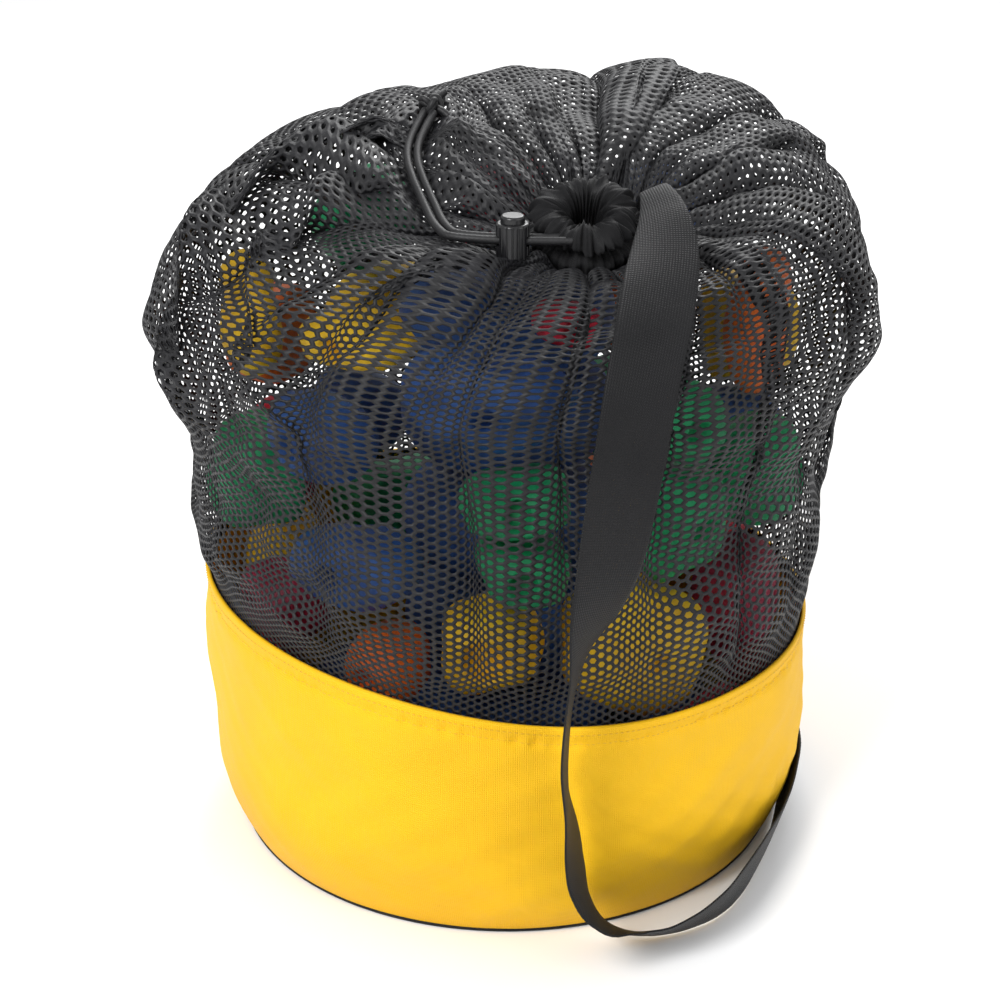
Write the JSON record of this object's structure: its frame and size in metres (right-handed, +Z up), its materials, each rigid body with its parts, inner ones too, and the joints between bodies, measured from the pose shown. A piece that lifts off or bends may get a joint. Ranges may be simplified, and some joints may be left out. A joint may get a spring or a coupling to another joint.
{
  "type": "mesh ball bag",
  "caption": "Round drawstring bag: mesh body on a woven base, cinched neck with a sprung cord lock, and a webbing shoulder strap, filled with loose climbing holds.",
  "frame": {"origin": "middle of the underside of the base disc, on the floor", "axes": "+Z up; -Y is the front, where the strap hangs; +X is the wearer's right as the front is seen"},
  "size_m": [0.408, 0.4207, 0.4261],
  "materials": {
    "yellow_fabric": "woven polyester, satin",
    "black_fabric": "plain weave",
    "black_mesh": "knitted mesh",
    "black_cord": "braided cord",
    "black_webbing": "flat woven webbing",
    "black_plastic": "moulded, slightly glossy",
    "spring_steel": "drawn wire",
    "hold_yellow": "cast resin, sanded texture",
    "hold_blue": "cast resin, sanded texture",
    "hold_green": "cast resin, sanded texture",
    "hold_red": "cast resin, sanded texture",
    "hold_maroon": "cast resin, sanded texture",
    "hold_orange": "cast resin, sanded texture"
  },
  "bodies": {
    "bag": {"base_disc": "black_fabric", "base_wall": "yellow_fabric", "bottom_binding": "black_fabric", "drawcord_knot": "black_cord", "drawcord_loop": "black_cord", "drawcord_tail_left": "black_cord", "drawcord_tail_right": "black_cord", "hold_blue_back": "hold_blue", "hold_blue_chip": "hold_blue", "hold_blue_knob": "hold_blue", "hold_blue_rail": "hold_blue", "hold_blue_rear": "hold_blue", "hold_blue_side": "hold_blue", "hold_blue_sloper": "hold_blue", "hold_green_back": "hold_green", "hold_green_blob": "hold_green", "hold_green_crimp": "hold_green", "hold_green_ear": "hold_green", "hold_green_low": "hold_green", "hold_green_pinch": "hold_green", "hold_green_rear": "hold_green", "hold_green_slab": "hold_green", "hold_green_wave": "hold_green", "hold_maroon_back": "hold_maroon", "hold_maroon_chip": "hold_maroon", "hold_maroon_edge": "hold_maroon", "hold_orange_arch": "hold_orange", "hold_orange_back": "hold_orange", "hold_orange_bean": "hold_orange", "hold_orange_rear": "hold_orange", "hold_orange_side": "hold_orange", "hold_red_back": "hold_red", "hold_red_pebble": "hold_red", "hold_red_rear": "hold_red", "hold_red_side": "hold_red", "hold_yellow_back": "hold_yellow", "hold_yellow_band": "hold_yellow", "hold_yellow_jug": "hold_yellow", "hold_yellow_low": "hold_yellow", "hold_yellow_pocket": "hold_yellow", "hold_yellow_rear": "hold_yellow", "hold_yellow_ring": "hold_yellow", "hold_yellow_side": "hold_yellow", "holds_core": "hold_green", "holds_lower_layer_1": "hold_blue", "holds_lower_layer_2": "hold_red", "mesh_body": "black_mesh", "neck_casing": "black_fabric", "rim_hem": "yellow_fabric", "strap_bottom_tab": "black_webbing", "strap_top_tab": "black_webbing"},
    "cord_lock": {"cord_lock_barrel": "black_plastic", "cord_lock_spring": "spring_steel"},
    "lock_button": {"cord_lock_plunger": "black_plastic"},
    "strap": {"shoulder_strap": "black_webbing"}
  },
  "joints": [
    {"name": "cord_lock_slide", "type": "slide", "parent": "bag", "child": "cord_lock", "axis": [-1, 0, 0], "range_m": [0, 0.01]},
    {"name": "lock_button_press", "type": "slide", "parent": "cord_lock", "child": "lock_button", "axis": [0, 0, -1], "range_m": [0, 0.0025], "stiffness_N_per_m": 1500, "springref_m": -0.002, "deforming": ["cord_lock_spring"]},
    {"name": "strap_swing", "type": "hinge", "parent": "bag", "child": "strap", "pos_m": [0.08, -0.056, 0.392], "axis": [-0.1932, -0.338, 0.9211], "range_deg": [0, 50]}
  ]
}
